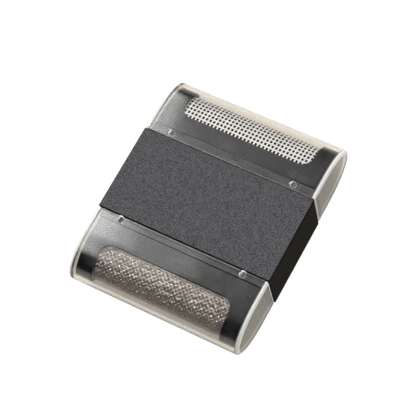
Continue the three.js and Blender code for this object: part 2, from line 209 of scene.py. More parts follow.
class Recipe:
    """A node tree being written, for a material or for the world."""

    def __init__(self, owner: Union[bpy.types.Material, bpy.types.World]) -> None:
        """Empties the owner's node tree, ready to be written."""
        owner.use_nodes = True
        self.tree = owner.node_tree
        self.tree.nodes.clear()

    def node(
        self,
        kind: str,
        settings: Optional[Dict[str, object]] = None,
        inputs: Optional[Dict[Union[int, str], Mixable]] = None,
        output: Union[int, str] = 0,
    ) -> Term:
        """Adds a node.

        Args:
            kind: the node's Blender type.
            settings: its own settings, such as a Math node's operation.
            inputs: values or terms for its sockets, by name or number.
            output: the socket to return.

        Returns:
            The chosen output as a term.
        """
        made = self.tree.nodes.new(kind)
        for key, value in (settings or {}).items():
            setattr(made, key, value)
        for key, value in (inputs or {}).items():
            if isinstance(value, Term):
                self.tree.links.new(value.socket, made.inputs[key])
            else:
                made.inputs[key].default_value = value
        return Term(self, made.outputs[output] if len(made.outputs) else None)

    def place(self) -> Term:
        """Object coordinates, in metres."""
        return self.node("ShaderNodeTexCoord", output="Object")

    def parts(self, vector: Term) -> List[Term]:
        """The X, Y and Z of a vector."""
        split = self.node("ShaderNodeSeparateXYZ", inputs={0: vector})
        return [Term(self, socket) for socket in split.socket.node.outputs]

    def facing(self, axis: int) -> Term:
        """How squarely the surface faces along an object axis, either way: 0 to 1."""
        normal = self.node("ShaderNodeTexCoord", output="Normal")
        return abs(self.parts(normal)[axis])

    def noise(self, cell: float, detail: float = 2.0, where: Optional[Term] = None) -> Term:
        """Soft random values, 0 to 1.

        Args:
            cell: the size of one blotch, in metres.
            detail: how many finer layers are added.
            where: coordinates, if not the object's own.

        Returns:
            The value.
        """
        inputs = {"Vector": where or self.place(), "Scale": 1 / cell, "Detail": detail}
        return self.node("ShaderNodeTexNoise", inputs=inputs, output="Fac")

    def cells(self, cell: float) -> Term:
        """Distance within random cells of about this size."""
        inputs = {"Vector": self.place(), "Scale": 1 / cell}
        return self.node("ShaderNodeTexVoronoi", inputs=inputs, output="Distance")

    def blend(self, share: Mixable, first: Mixable, second: Mixable) -> Term:
        """A colour between two colours: a Mix node's colours are its inputs 6 and 7."""
        inputs = {0: share, 6: first, 7: second}
        return self.node("ShaderNodeMix", {"data_type": "RGBA"}, inputs, output=2)

    def relief(self, height: Term, depth: float) -> Term:
        """A bumped normal, from a height of 0 to 1 that stands for this depth in metres."""
        inputs = {"Height": height, "Distance": depth, "Strength": 1.0}
        return self.node("ShaderNodeBump", inputs=inputs)

    def surface(self, inputs: Dict[Union[int, str], Mixable]) -> Term:
        """A Principled shader."""
        return self.node("ShaderNodeBsdfPrincipled", inputs=inputs)

    def close(self, shader: Term, kind: str = "ShaderNodeOutputMaterial") -> None:
        """Leads the finished shader to the tree's output."""
        self.node(kind, inputs={"Surface": shader})


class Finish:
    """The base of every finish: it makes its material once and puts it on pieces."""

    name: str

    def write(self, recipe: Recipe) -> None:
        """Writes the finish's nodes."""
        raise NotImplementedError

    def material(self) -> bpy.types.Material:
        """The finish's material, made at the first call; no CAD material has its name."""
        found = bpy.data.materials.get(self.name)
        if found is None:
            found = bpy.data.materials.new(self.name)
            self.write(Recipe(found))
        return found

    def dress(self, obj: bpy.types.Object) -> None:
        """Puts the finish in a piece's first material slot, in place of what it held.

        Args:
            obj: the piece.
        """
        if obj.material_slots:
            obj.material_slots[0].material = self.material()
        else:
            add_finishes(obj, self)


def add_finishes(obj: bpy.types.Object, *finishes: Finish) -> None:
    """Gives a piece one more material slot for each finish."""
    for finish in finishes:
        obj.data.materials.append(finish.material())


@dataclass(frozen=True)
class GrainedPlastic(Finish):
    """Spark-grained black plastic: speckled on the broad faces, plain and darker at their eased
    edges, where the dark is painted shade.
    """

    name: str = "grained_black_plastic"
    dark: Colour = (0.003, 0.0028, 0.003, 1)
    pale: Colour = (0.083, 0.078, 0.0835, 1)
    edge: Colour = (0.0085, 0.0075, 0.0055, 1)
    edge_shade_tone: Colour = (0.016, 0.0145, 0.0115, 1)
    grain: float = 0.30 * MM
    depth: float = 0.22 * MM
    gloss: float = 0.12

    def write(self, recipe: Recipe) -> None:
        """Speckled grain where the surface faces up or down, plain darker satin where it turns
        away, as painted shade.
        """
        broad = recipe.facing(2).ramped(0.55, 0.9)
        fine = recipe.noise(self.grain, 3.0)
        pits = recipe.cells(self.grain * 1.5)
        patches = recipe.noise(3.5 * MM, 2.0)
        speckle = (fine * 0.9 + pits * 0.4 + patches * 0.1 - 0.1).ramped(0.42, 0.74)
        grained = recipe.blend(speckle, self.dark, self.pale)
        # The eased edges take a dark warm colour: painted shade, as on the sides.
        edges = recipe.blend(recipe.noise(9 * MM), self.edge, self.edge_shade_tone)
        height = (fine * 0.6 + pits * 0.6) * broad + recipe.noise(0.5 * MM) * 0.05
        recipe.close(
            recipe.surface(
                {
                    "Base Color": recipe.blend(broad, edges, grained),
                    "Roughness": 0.32 + broad * fine * 0.12,
                    "Specular IOR Level": self.gloss,
                    "Normal": recipe.relief(height, self.depth),
                }
            )
        )


@dataclass(frozen=True)
class SideShadePlastic(Finish):
    """The casing's smooth sides, coloured darker and warmer than the top as painted shade."""

    name: str = "smooth_black_plastic_painted_shade"
    colour: Colour = (0.0026, 0.0022, 0.0015, 1)
    tone: Colour = (0.0050, 0.0044, 0.0032, 1)
    gloss: float = 0.03

    def write(self, recipe: Recipe) -> None:
        """A dull skin, darkened as painted shade, with a slow change of tone."""
        drift = recipe.noise(8 * MM, 3.0)
        skin = recipe.noise(0.3 * MM, 2.0)
        recipe.close(
            recipe.surface(
                {
                    "Base Color": recipe.blend(drift, self.colour, self.tone),
                    "Roughness": 0.48 + skin * 0.14,
                    "Specular IOR Level": self.gloss,
                    "Normal": recipe.relief(skin, 0.01 * MM),
                }
            )
        )


@dataclass(frozen=True)
class SatinPlastic(Finish):
    """Plain moulded black plastic with a satin skin and faint flow marks."""

    name: str
    colour: Colour
    tone: Colour
    roughness: float
    dusty: Colour
    gloss: float = 0.5
    wave: float = 0.004 * MM

    def write(self, recipe: Recipe) -> None:
        """A dark tone that drifts a little, with a fine skin, faint smears and a few specks."""
        drift = recipe.noise(11 * MM, 3.0)
        skin = recipe.noise(0.22 * MM, 2.0)
        rubbed = recipe.noise(2.4 * MM, 4.0)
        smears = recipe.noise(9 * MM, 6.0).ramped(0.47, 0.74)
        specks = recipe.noise(0.7 * MM, 1.0).ramped(0.68, 0.76)
        plain = recipe.blend(drift * 0.7 + skin * 0.3, self.colour, self.tone)
        dust = smears * (0.35 + rubbed * 0.65) + specks * rubbed
        recipe.close(
            recipe.surface(
                {
                    "Base Color": recipe.blend(dust, plain, self.dusty),
                    "Roughness": self.roughness + rubbed * 0.10 + skin * 0.05 + smears * 0.06,
                    "Specular IOR Level": self.gloss,
                    "Normal": recipe.relief(drift * 0.8 + skin * 0.2, self.wave),
                }
            )
        )


@dataclass(frozen=True)
class ClearPlastic(Finish):
    """Clear moulded plastic, faintly warm, with very slight flow waves."""

    name: str = "clear_cap_plastic"
    tint: Colour = (0.95, 0.935, 0.905, 1)
    haze: Colour = (0.985, 0.975, 0.955, 1)
    clarity: float = 1.0
    roughness: float = 0.03
    wave: float = 14 * MM

    def write(self, recipe: Recipe) -> None:
        """Smooth glass-like plastic whose tint drifts over the moulding."""
        drift = recipe.noise(self.wave, 2.0)
        recipe.close(
            recipe.surface(
                {
                    "Base Color": recipe.blend(drift, self.tint, self.haze),
                    "Roughness": self.roughness,
                    "IOR": PLASTIC_IOR,
                    "Transmission Weight": self.clarity,
                    "Normal": recipe.relief(drift, 0.01 * MM),
                }
            )
        )


@dataclass(frozen=True)
class BrushedSteel(Finish):
    """Bright steel, lightly brushed along Y and round the bend of a foil."""

    name: str
    colour: Colour
    tone: Colour
    metallic: float
    roughness: float
    scratch: float = 0.25 * MM
    stretch: float = 6.0
    nose_colour: Optional[Colour] = None
    gloss: float = 0.5

    def write(self, recipe: Recipe) -> None:
        """Fine scratches and a slow change of tone, darker and browner towards the nose if a nose
        colour is given.
        """
        tone = recipe.noise(1.6 * MM, 3.0)
        place = recipe.place()
        colour = recipe.blend(tone, self.colour, self.tone)
        # Darker and browner towards the nose.
        if self.nose_colour:
            reach = abs(recipe.parts(place)[1]) + (tone - 0.5) * (4 * MM)
            colour = recipe.blend(reach.ramped(38 * MM, 46 * MM) * 0.85, colour, self.nose_colour)
        stretched = recipe.node(
            "ShaderNodeMapping",
            {"vector_type": "POINT"},
            {"Vector": place, "Scale": (self.stretch, 1, 1)},
        )
        scratches = recipe.noise(self.scratch * self.stretch, 3.0, stretched)
        recipe.close(
            recipe.surface(
                {
                    "Base Color": colour,
                    "Metallic": self.metallic,
                    "Specular IOR Level": self.gloss,
                    "Roughness": self.roughness + scratches * 0.16,
                    "Normal": recipe.relief(scratches, 0.008 * MM),
                }
            )
        )


CASING_PLASTIC = GrainedPlastic()
# The sides' darker, warmer colour is painted shade.
CASING_SIDE_SHADE = SideShadePlastic()
# The necks under the caps: a finer, glossier grain with paler speckle; the paler speckle is
# painted light for the light that the clear caps hold back.
NECK_PLASTIC_LIT = GrainedPlastic(
    "grained_neck_plastic_painted_light", pale=(0.105, 0.102, 0.112, 1), depth=0.12 * MM, gloss=0.35
)
HEAD_PLASTIC = SatinPlastic(
    "satin_black_plastic",
    colour=(0.0035, 0.0039, 0.005, 1),
    tone=(0.0075, 0.0085, 0.0108, 1),
    roughness=0.22,
    dusty=(0.058, 0.064, 0.076, 1),
)
INNER_PLASTIC = SatinPlastic(
    "inner_black_plastic",
    colour=(0.006, 0.006, 0.006, 1),
    tone=(0.012, 0.0115, 0.011, 1),
    roughness=0.5,
    dusty=(0.02, 0.02, 0.02, 1),
    gloss=0.2,
)
CAP_PLASTIC = ClearPlastic()
# A darker, warmer tint on the cap's flat sides: painted shade.
CAP_SIDE_SHADE = ClearPlastic(
    "shade_tinted_cap_side", tint=(0.70, 0.665, 0.61, 1), haze=(0.77, 0.735, 0.68, 1), clarity=0.95
)
# Whitish frosting on the mouth rim and the edge bevels: painted highlight for the bright lines
# along the cap's edges.
CAP_EDGE_HIGHLIGHT = ClearPlastic(
    "painted_highlight_cap_edge",
    tint=(0.60, 0.60, 0.585, 1),
    haze=(0.78, 0.78, 0.76, 1),
    clarity=0.25,
    roughness=0.35,
    wave=0.5 * MM,
)
# Pale, part-frosted nub domes: scuffing and a painted highlight for the bright blobs of the snap
# nubs.
CAP_NUB_HIGHLIGHT = ClearPlastic(
    "scuffed_highlight_cap_nub",
    tint=(0.92, 0.92, 0.91, 1),
    haze=(0.99, 0.99, 0.98, 1),
    clarity=0.68,
    roughness=0.08,
    wave=1 * MM,
)
COARSE_STEEL = BrushedSteel(
    "bright_foil_steel",
    colour=(0.855, 0.843, 0.816, 1),
    tone=(0.886, 0.875, 0.847, 1),
    metallic=0.3,
    roughness=0.37,
)
FINE_STEEL = BrushedSteel(
    "woven_foil_steel",
    colour=(0.402, 0.364, 0.327, 1),
    tone=(0.437, 0.397, 0.356, 1),
    metallic=0.9,
    roughness=0.32,
)
FINE_BACKING = BrushedSteel(
    "woven_foil_backing",
    colour=(0.15, 0.125, 0.11, 1),
    tone=(0.34, 0.30, 0.28, 1),
    metallic=0.2,
    roughness=0.45,
    nose_colour=(0.13, 0.075, 0.045, 1),
)
# A near-black finish for the coarse foil's inner face, hole walls and the strip behind them:
# painted shade in the holes.
PAINTED_SHADE_LINING = BrushedSteel(
    "painted_shade_foil_lining",
    colour=(0.004, 0.0038, 0.0035, 1),
    tone=(0.010, 0.0095, 0.009, 1),
    metallic=0.0,
    roughness=0.6,
    gloss=0.08,
)
SCREW_STEEL = BrushedSteel(
    "plated_screw_steel",
    colour=(0.485, 0.485, 0.473, 1),
    tone=(0.519, 0.519, 0.507, 1),
    metallic=0.9,
    roughness=0.32,
    scratch=0.4 * MM,
)


# ---- The bench ----


def clear_bench() -> None:
    """Leaves edit mode and deselects everything."""
    if bpy.context.object and bpy.context.object.mode != "OBJECT":
        bpy.ops.object.mode_set(mode="OBJECT")
    bpy.ops.object.select_all(action="DESELECT")


def bring(obj: bpy.types.Object) -> None:
    """Makes one object the selected and active one.

    Args:
        obj: the object.
    """
    clear_bench()
    obj.select_set(True)
    bpy.context.view_layer.objects.active = obj


class Solid:
    """One piece on the bench, modelled with Blender's operators and settled at the origin."""

    def __init__(self, obj: bpy.types.Object) -> None:
        """Takes an object that is already in place."""
        self.obj = obj
        self.settle()

    def settle(self) -> "Solid":
        """Moves the object's place, turn and scale into its mesh."""
        bring(self.obj)
        bpy.ops.object.transform_apply(location=True, rotation=True, scale=True)
        return self

    def trued(self) -> "Solid":
        """Rounds each vertex's place to 10 nm, so that solids meant to end flush do so exactly."""
        for vertex in self.obj.data.vertices:
            vertex.co = [round(value, 8) for value in vertex.co]
        return self

    @classmethod
    def block(cls, xs: Span, ys: Span, zs: Span) -> "Solid":
        """A box between three pairs of values.

        Args:
            xs: its two X values, in either order.
            ys: its two Y values.
            zs: its two heights.

        Returns:
            The box.
        """
        spans = [sorted(span) for span in (xs, ys, zs)]
        clear_bench()
        bpy.ops.mesh.primitive_cube_add(size=1, location=[sum(s) / 2 for s in spans])
        bpy.context.object.scale = [s[1] - s[0] for s in spans]
        return cls(bpy.context.object).trued()

    @classmethod
    def post(
        cls, radius: float, span: Span, x: float = 0.0, other: float = 0.0, lying: bool = False
    ) -> "Solid":
        """A round post.

        Args:
            radius: its radius.
            span: the two heights it stands between, or the two Y values if it is lying.
            x: X of its axis.
            other: Y of an upright axis, or Z of a lying one.
            lying: whether it lies along Y.

        Returns:
            The post.
        """
        middle = sum(span) / 2
        clear_bench()
        bpy.ops.mesh.primitive_cylinder_add(
            vertices=32,
            radius=radius,
            depth=abs(span[1] - span[0]),
            location=(x, middle, other) if lying else (x, other, middle),
            rotation=(math.pi / 2, 0, 0) if lying else (0, 0, 0),
        )
        return cls(bpy.context.object).trued()

    @classmethod
    def nose(
        cls, depth: float, start: float, half_width: float, edge: float = 0.0, sides: int = 160
    ) -> "Solid":
        """A flat-sided solid along +Y that ends in an elliptical nose.

        Args:
            depth: how deep the layer lies below a cap's outer face.
            start: Y of its flat end.
            half_width: half its width.
            edge: radius of its long edges.
            sides: facets in a whole turn of the nose.

        Returns:
            The solid.
        """
        centre = (0, SIZES.nose_centre, SIZES.mid_height)
        clear_bench()
        bpy.ops.mesh.primitive_cylinder_add(
            vertices=sides, radius=1, depth=2, location=centre, rotation=(0, math.pi / 2, 0)
        )
        rise = SIZES.half_height_at(depth)
        bpy.context.object.scale = (rise, SIZES.nose_reach - depth, half_width)
        made = cls(bpy.context.object)
        made.edit("VERT")
        bpy.ops.mesh.select_all(action="SELECT")
        bpy.ops.mesh.bisect(
            plane_co=centre, plane_no=(0, 1, 0), clear_inner=True, threshold=TINY
        )
        made.pick_edges(lambda e: made.on_plane(e, 1, SIZES.nose_centre))
        bpy.ops.mesh.extrude_region_move(
            TRANSFORM_OT_translate={"value": (0, start - SIZES.nose_centre, 0)}
        )
        made.pick_edges(lambda e: e.is_boundary)
        bpy.ops.mesh.edge_face_add()
        made.pick_edges(
            lambda e: made.on_plane(e, 1, SIZES.nose_centre)
            and abs(abs(e.verts[0].co.x) - half_width) < TINY
            and abs(e.verts[0].co.x - e.verts[1].co.x) < TINY
        )
        bpy.ops.mesh.dissolve_edges(use_verts=False)
        bpy.ops.mesh.select_all(action="SELECT")
        bpy.ops.mesh.normals_make_consistent(inside=False)
        if edge:
            made.pick_edges(
                lambda e: not made.on_plane(e, 1, start)
                and sorted(abs(f.normal.x) > 0.9 for f in e.link_faces) == [False, True]
            )
            bpy.ops.mesh.bevel(offset=edge, segments=5, affect="EDGES")
        return made

    def edit(self, mode: str = "EDGE") -> None:
        """Enters edit mode on this piece, with one kind of element selectable.

        Args:
            mode: VERT, EDGE or FACE.
        """
        if bpy.context.object != self.obj or self.obj.mode != "EDIT":
            bring(self.obj)
            bpy.ops.object.mode_set(mode="EDIT")
        bpy.ops.mesh.select_mode(type=mode)

    @staticmethod
    def on_plane(edge: bmesh.types.BMEdge, axis: int, value: float) -> bool:
        """Whether both ends of an edge have this value along an axis."""
        return all(abs(v.co[axis] - value) < TINY for v in edge.verts)

    def pick(self, kind: str, test: Callable[..., bool]) -> int:
        """Selects what passes a test, and nothing else.

        Args:
            kind: EDGE or FACE.
            test: takes a bmesh edge or face.

        Returns:
            How many passed.
        """
        self.edit(kind)
        bpy.ops.mesh.select_all(action="DESELECT")
        mesh = bmesh.from_edit_mesh(self.obj.data)
        mesh.normal_update()
        chosen = [item for item in (mesh.edges if kind == "EDGE" else mesh.faces) if test(item)]
        for item in chosen:
            item.select_set(True)
        mesh.select_flush_mode()
        bmesh.update_edit_mesh(self.obj.data)
        return len(chosen)

    def pick_edges(self, test: Callable[[bmesh.types.BMEdge], bool]) -> int:
        """Selects the edges that pass a test, and nothing else; returns how many."""
        return self.pick("EDGE", test)

    def pick_faces(self, test: Callable[[bmesh.types.BMFace], bool]) -> int:
        """Selects the faces that pass a test, and nothing else; returns how many."""
        return self.pick("FACE", test)

    def sliced(self, length: float, pieces: int) -> "Solid":
        """Cuts all faces across at even steps of a length along Y, so that they can bend.

        Args:
            length: the length that is divided, from Y 0.
            pieces: into how many pieces.

        Returns:
            This piece.
        """
        self.edit("FACE")
        for i in range(1, pieces):
            bpy.ops.mesh.select_all(action="SELECT")
            bpy.ops.mesh.bisect(
                plane_co=(0, length * i / pieces, 0), plane_no=(0, 1, 0), threshold=TINY
            )
        clear_bench()
        return self

    def joined(self, *others: "Solid") -> "Solid":
        """Takes other pieces into this one, each left as it is.

        Args:
            others: the pieces that become part of this one.

        Returns:
            This piece.
        """
        clear_bench()
        for part in (self, *others):
            part.obj.select_set(True)
        bpy.context.view_layer.objects.active = self.obj
        bpy.ops.object.join()
        return self

    def round_edges(
        self, test: Callable[[bmesh.types.BMEdge], bool], radius: float, segments: int = 3
    ) -> "Solid":
        """Rounds the edges that pass a test.

        Args:
            test: says which edges.
            radius: the rounding.
            segments: facets across it.

        Returns:
            This piece.
        """
        if self.pick_edges(test):
            bpy.ops.mesh.bevel(
                offset=radius, segments=segments, affect="EDGES", clamp_overlap=True
            )
        clear_bench()
        return self

    def modify(self, kind: str, **settings: object) -> "Solid":
        """Adds a modifier with its settings and applies it.

        Args:
            kind: the modifier's Blender type.
            settings: its settings, by name.

        Returns:
            This piece.
        """
        clear_bench()
        modifier = self.obj.modifiers.new(kind.lower(), kind)
        for key, value in settings.items():
            setattr(modifier, key, value)
        bring(self.obj)
        bpy.ops.object.modifier_apply(modifier=modifier.name)
        return self

    def work(self, how: Join, *tools: "Solid") -> "Solid":
        """Adds or cuts other solids, which are used up.

        Args:
            how: whether to add or to cut.
            tools: the solids to work with.

        Returns:
            This piece.
        """
        for tool in tools:
            clear_bench()
            self.modify("BOOLEAN", operation=how.value, object=tool.obj, solver="EXACT")
            bpy.data.objects.remove(tool.obj, do_unlink=True)
        return self

    def merged(self, distance: float = 2e-6) -> "Solid":
        """Merges doubled vertices.

        Args:
            distance: how close vertices are merged.

        Returns:
            This piece.
        """
        self.edit("VERT")
        bpy.ops.mesh.select_all(action="SELECT")
        bpy.ops.mesh.remove_doubles(threshold=distance)
        clear_bench()
        return self

    def half_turn(self) -> "Solid":
        """Turns the piece to the front end.

        Returns:
            This piece.
        """
        self.obj.rotation_euler = (0, 0, math.pi)
        return self.settle()

    def smooth(self, degrees: float = 32.0) -> "Solid":
        """Smooth shading, broken at edges sharper than this, with flat faces kept flat.

        Args:
            degrees: the sharpest edge that is still shaded smooth.

        Returns:
            This piece.
        """
        bring(self.obj)
        bpy.ops.object.shade_smooth_by_angle(angle=math.radians(degrees))
        return self.modify("WEIGHTED_NORMAL", keep_sharp=True)

    def finished(
        self, name: str, finish: Finish, body: str, slot: str, replaced: str
    ) -> bpy.types.Object:
        """Names and dresses the piece and hands it to the frame.

        Args:
            name: the piece's name.
            finish: what it is made of.
            body: the body it moves with.
            slot: the record's material slot; not used.
            replaced: the CAD node that it stands for.

        Returns:
            The finished object.
        """
        clear_bench()
        self.obj.name = name
        self.obj.data.name = name
        finish.dress(self.obj)
        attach(self.obj, body)
        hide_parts(replaced)
        faces = len(self.obj.data.polygons)
        LOG.info("%s: %d faces, %s, on %s", name, faces, finish.name, body)
        return self.obj


def both(value: float) -> Span:
    """A value and its opposite."""
    return (-value, value)


def about(middle: float, half: float) -> Span:
    """The span half a width either side of a middle."""
    return (middle - half, middle + half)


# ---- The grip ----


@dataclass(frozen=True)
class Grip:
    """The casing's tray and lid, the divider between its two lint bins, and its screws."""

    corner: float = 0.5 * MM
    flat_from: float = 0.9
    screws: int = 4

    def tray(self) -> None:
        """The tray, with its outer corners eased."""
        made = self._copy("lower_casing")
        width, length = SIZES.half_width, SIZES.grip_half

        def outer(edge: bmesh.types.BMEdge) -> bool:
            """An upright corner of the tray, or an edge round its bottom.

            Args:
                edge: an edge of the tray.

            Returns:
                Whether it is one of them.
            """
            a, b = edge.verts[0].co, edge.verts[1].co
            corner = all(
                abs(abs(v.x) - width) < TINY and abs(abs(v.y) - length) < TINY for v in (a, b)
            )
            bottom = max(abs(a.z), abs(b.z)) < TINY and (
                all(abs(abs(v.x) - width) < TINY for v in (a, b))
                or all(abs(abs(v.y) - length) < TINY for v in (a, b))
            )
            return corner or bottom

        made.round_edges(outer, self.corner, 3).smooth()
        self._dress(made, "casing_tray", "lower_casing")

    def lid(self) -> None:
        """The lid, with its edges left crisp."""
        self._dress(self._copy("upper_casing").smooth(20), "casing_lid", "upper_casing")

    def _dress(self, made: Solid, name: str, replaced: str) -> None:
        """Finishes a half: grained above and below, finer and paler on the necks, smooth and
        darker on the sides; the paler necks are painted light, the darker sides painted shade.

        Args:
            made: the half.
            name: its name.
            replaced: the CAD node that it stands for.
        """
        obj = made.finished(name, CASING_PLASTIC, "casing", "casing_plastic", replaced)
        add_finishes(obj, CASING_SIDE_SHADE, NECK_PLASTIC_LIT)
        # Side faces take the darker painted-shade finish, and neck faces the paler painted-light
        # grain.
        for face in obj.data.polygons:
            if abs(face.normal.z) < self.flat_from:
                face.material_index = 1
            elif abs(face.center.y) > SIZES.grip_half:
                face.material_index = 2

    def fittings(self) -> None:
        """The divider and the four screws keep their solids and get their finishes."""
        INNER_PLASTIC.dress(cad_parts["divider_plate"])
        for number in range(1, self.screws + 1):
            SCREW_STEEL.dress(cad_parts[f"casing_screw_{number}"])
        LOG.info("divider_plate and %d casing screws dressed", self.screws)

    @staticmethod
    def _copy(node: str) -> Solid:
        """A merged copy of a CAD node with its flat faces made whole.

        Args:
            node: the node's name.

        Returns:
            The copy.
        """
        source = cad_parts[node]
        clear_bench()
        copied = bpy.data.objects.new(node + "_copy", source.data.copy())
        bpy.context.scene.collection.objects.link(copied)
        made = Solid(copied).merged()
        made.edit("VERT")
        bpy.ops.mesh.select_all(action="SELECT")
        bpy.ops.mesh.dissolve_limited(angle_limit=math.radians(0.5))
        clear_bench()
        return made

    def build(self) -> None:
        """Builds and dresses the grip."""
        self.tray()
        self.lid()
        self.fittings()


# ---- The heads ----


@dataclass(frozen=True)
class HeadShell:
    """The black nose shell with its window, and the spigot that plugs into the grip."""

    end: EndSizes
    tongue_spacing: float = 40 * MM
    tongue_width: float = 7 * MM
    tongue_slot: float = 0.8 * MM
    tongue_length: float = 7 * MM
    ridge_height: float = 0.1 * MM
    ridge_width: float = 0.8 * MM
    key_offset: float = 1.7 * MM
    key_half: float = 1.5 * MM
    key_length: float = 2.2 * MM
    boss_x: float = 35.9 * MM
    boss_radius: float = 1.8 * MM
    boss_length: float = 9.7 * MM
    boss_setback: float = 2.8 * MM
    web_half: float = 1 * MM
    pilot_radius: float = 0.95 * MM
    pilot_stop: float = 1.5 * MM
    shoulder_edge: float = 0.08 * MM
    spigot_edge: float = 0.3 * MM

    def window(self) -> Solid:
        """The rounded opening, as an upright prism that reaches well past the nose.

        Returns:
            The prism to cut with.
        """
        size = SIZES
        made = Solid.block(
            both(size.window_half), (size.window_start, 80 * MM), (-5 * MM, 30 * MM)
        )
        made.round_edges(
            lambda e: made.on_plane(e, 1, size.window_start)
            and abs(e.verts[0].co.x - e.verts[1].co.x) < TINY,
            size.window_corner,
            12,
        )
        return made

    def shell(self) -> Solid:
        """The hollow nose with its spigot and window.

        Returns:
            The shell.
        """
        size = SIZES
        seam = size.seam(self.end)
        made = Solid.nose(
            size.head_depth, seam, size.half_width_at(size.head_depth), size.head_edge
        )
        made.round_edges(
            lambda e: made.on_plane(e, 1, seam) and len(e.link_faces) == 2, self.shoulder_edge, 2
        )
        spigot = self._layer(size.spigot_depth, size.spigot_end, seam + size.overlap)
        spigot.round_edges(
            lambda e: spigot.on_plane(e, 1, size.spigot_end), self.spigot_edge, 2
        )
        inner = size.head_depth + size.head_wall
        inner_start = seam + size.shoulder
        made.work(Join.ADD, spigot)
        made.work(
            Join.CUT,
            Solid.nose(inner, inner_start, size.half_width_at(inner)),
            self._layer(
                size.spigot_bore_depth, size.spigot_end - size.run_out, inner_start + size.overlap
            ),
            self.window(),
        )
        return made

    @staticmethod
    def _layer(depth: float, start: float, stop: float) -> Solid:
        """A block that fills the layer this deep below a cap's outer face.

        Args:
            depth: how deep the layer lies.
            start: its lower Y.
            stop: its higher Y.

        Returns:
            The block.
        """
        return Solid.block(
            both(SIZES.half_width_at(depth)),
            (start, stop),
            about(SIZES.mid_height, SIZES.half_height_at(depth)),
        )

    def tongues(self, made: Solid) -> None:
        """Frees the snap tongues in the spigot and gives each its ridge.

        Args:
            made: the shell.
        """
        size = SIZES
        rise = size.half_height_at(size.spigot_depth)
        end = size.spigot_end
        for tongue in both(self.tongue_spacing / 2):
            for side in both(self.tongue_width / 2):
                slot = Solid.block(
                    about(tongue + side, self.tongue_slot / 2),
                    (end - size.run_out, end + self.tongue_length),
                    (0, 2 * size.mid_height),
                )
                made.work(Join.CUT, slot)
            for way in (-1, 1):
                ridge = Solid.block(
                    about(tongue, self.tongue_width / 2 - self.tongue_slot),
                    (end + self.ridge_width, end + 2 * self.ridge_width),
                    (
                        size.mid_height + way * (rise - size.overlap),
                        size.mid_height + way * (rise + self.ridge_height),
                    ),
                )
                made.work(Join.ADD, ridge)

    def bosses(self, made: Solid) -> None:
        """The screw bosses inside the cheeks, each on a web.

        Args:
            made: the shell.
        """
        size = SIZES
        start = size.seam(self.end) + self.boss_setback
        stop = start + self.boss_length
        wall = size.half_width_at(size.head_depth + size.head_wall) + size.overlap
        for side in (-1, 1):
            x = side * self.boss_x
            boss = Solid.post(self.boss_radius, (start, stop), x, size.mid_height, lying=True)
            web = Solid.block(
                (x, side * wall), (start, stop), about(size.mid_height, self.web_half)
            )
            depth = (start - size.run_out, stop - self.pilot_stop)
            pilot = Solid.post(self.pilot_radius, depth, x, size.mid_height, lying=True)
            made.work(Join.ADD, boss, web).work(Join.CUT, pilot)

    def key(self, made: Solid) -> None:
        """The lug on the shoulder that sits in the neck's notch.

        Args:
            made: the shell.
        """
        size = SIZES
        seam = size.seam(self.end)
        lug = Solid.block(
            about(self.key_offset, self.key_half),
            (seam - self.key_length, seam + size.overlap),
            (
                size.mid_height + size.half_height_at(size.spigot_depth) - size.overlap,
                size.mid_height + size.half_height_at(size.head_depth),
            ),
        )
        made.work(Join.ADD, lug)

    def build(self) -> None:
        """Builds and dresses the shell."""
        made = self.shell()
        self.tongues(made)
        self.bosses(made)
        if self.end.keyed:
            self.key(made)
        if self.end.turned:
            made.half_turn()
        made.merged().smooth()
        name = self.end.name
        node = f"{name}_head_shell"
        made.finished(f"{name}_head_nose", HEAD_PLASTIC, f"{name}_head", "head_plastic", node)
        INNER_PLASTIC.dress(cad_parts[f"{name}_foil_support"])
        for side in ("left", "right"):
            SCREW_STEEL.dress(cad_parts[f"{name}_support_screw_{side}"])
        LOG.info("%s_foil_support and its two screws dressed", name)


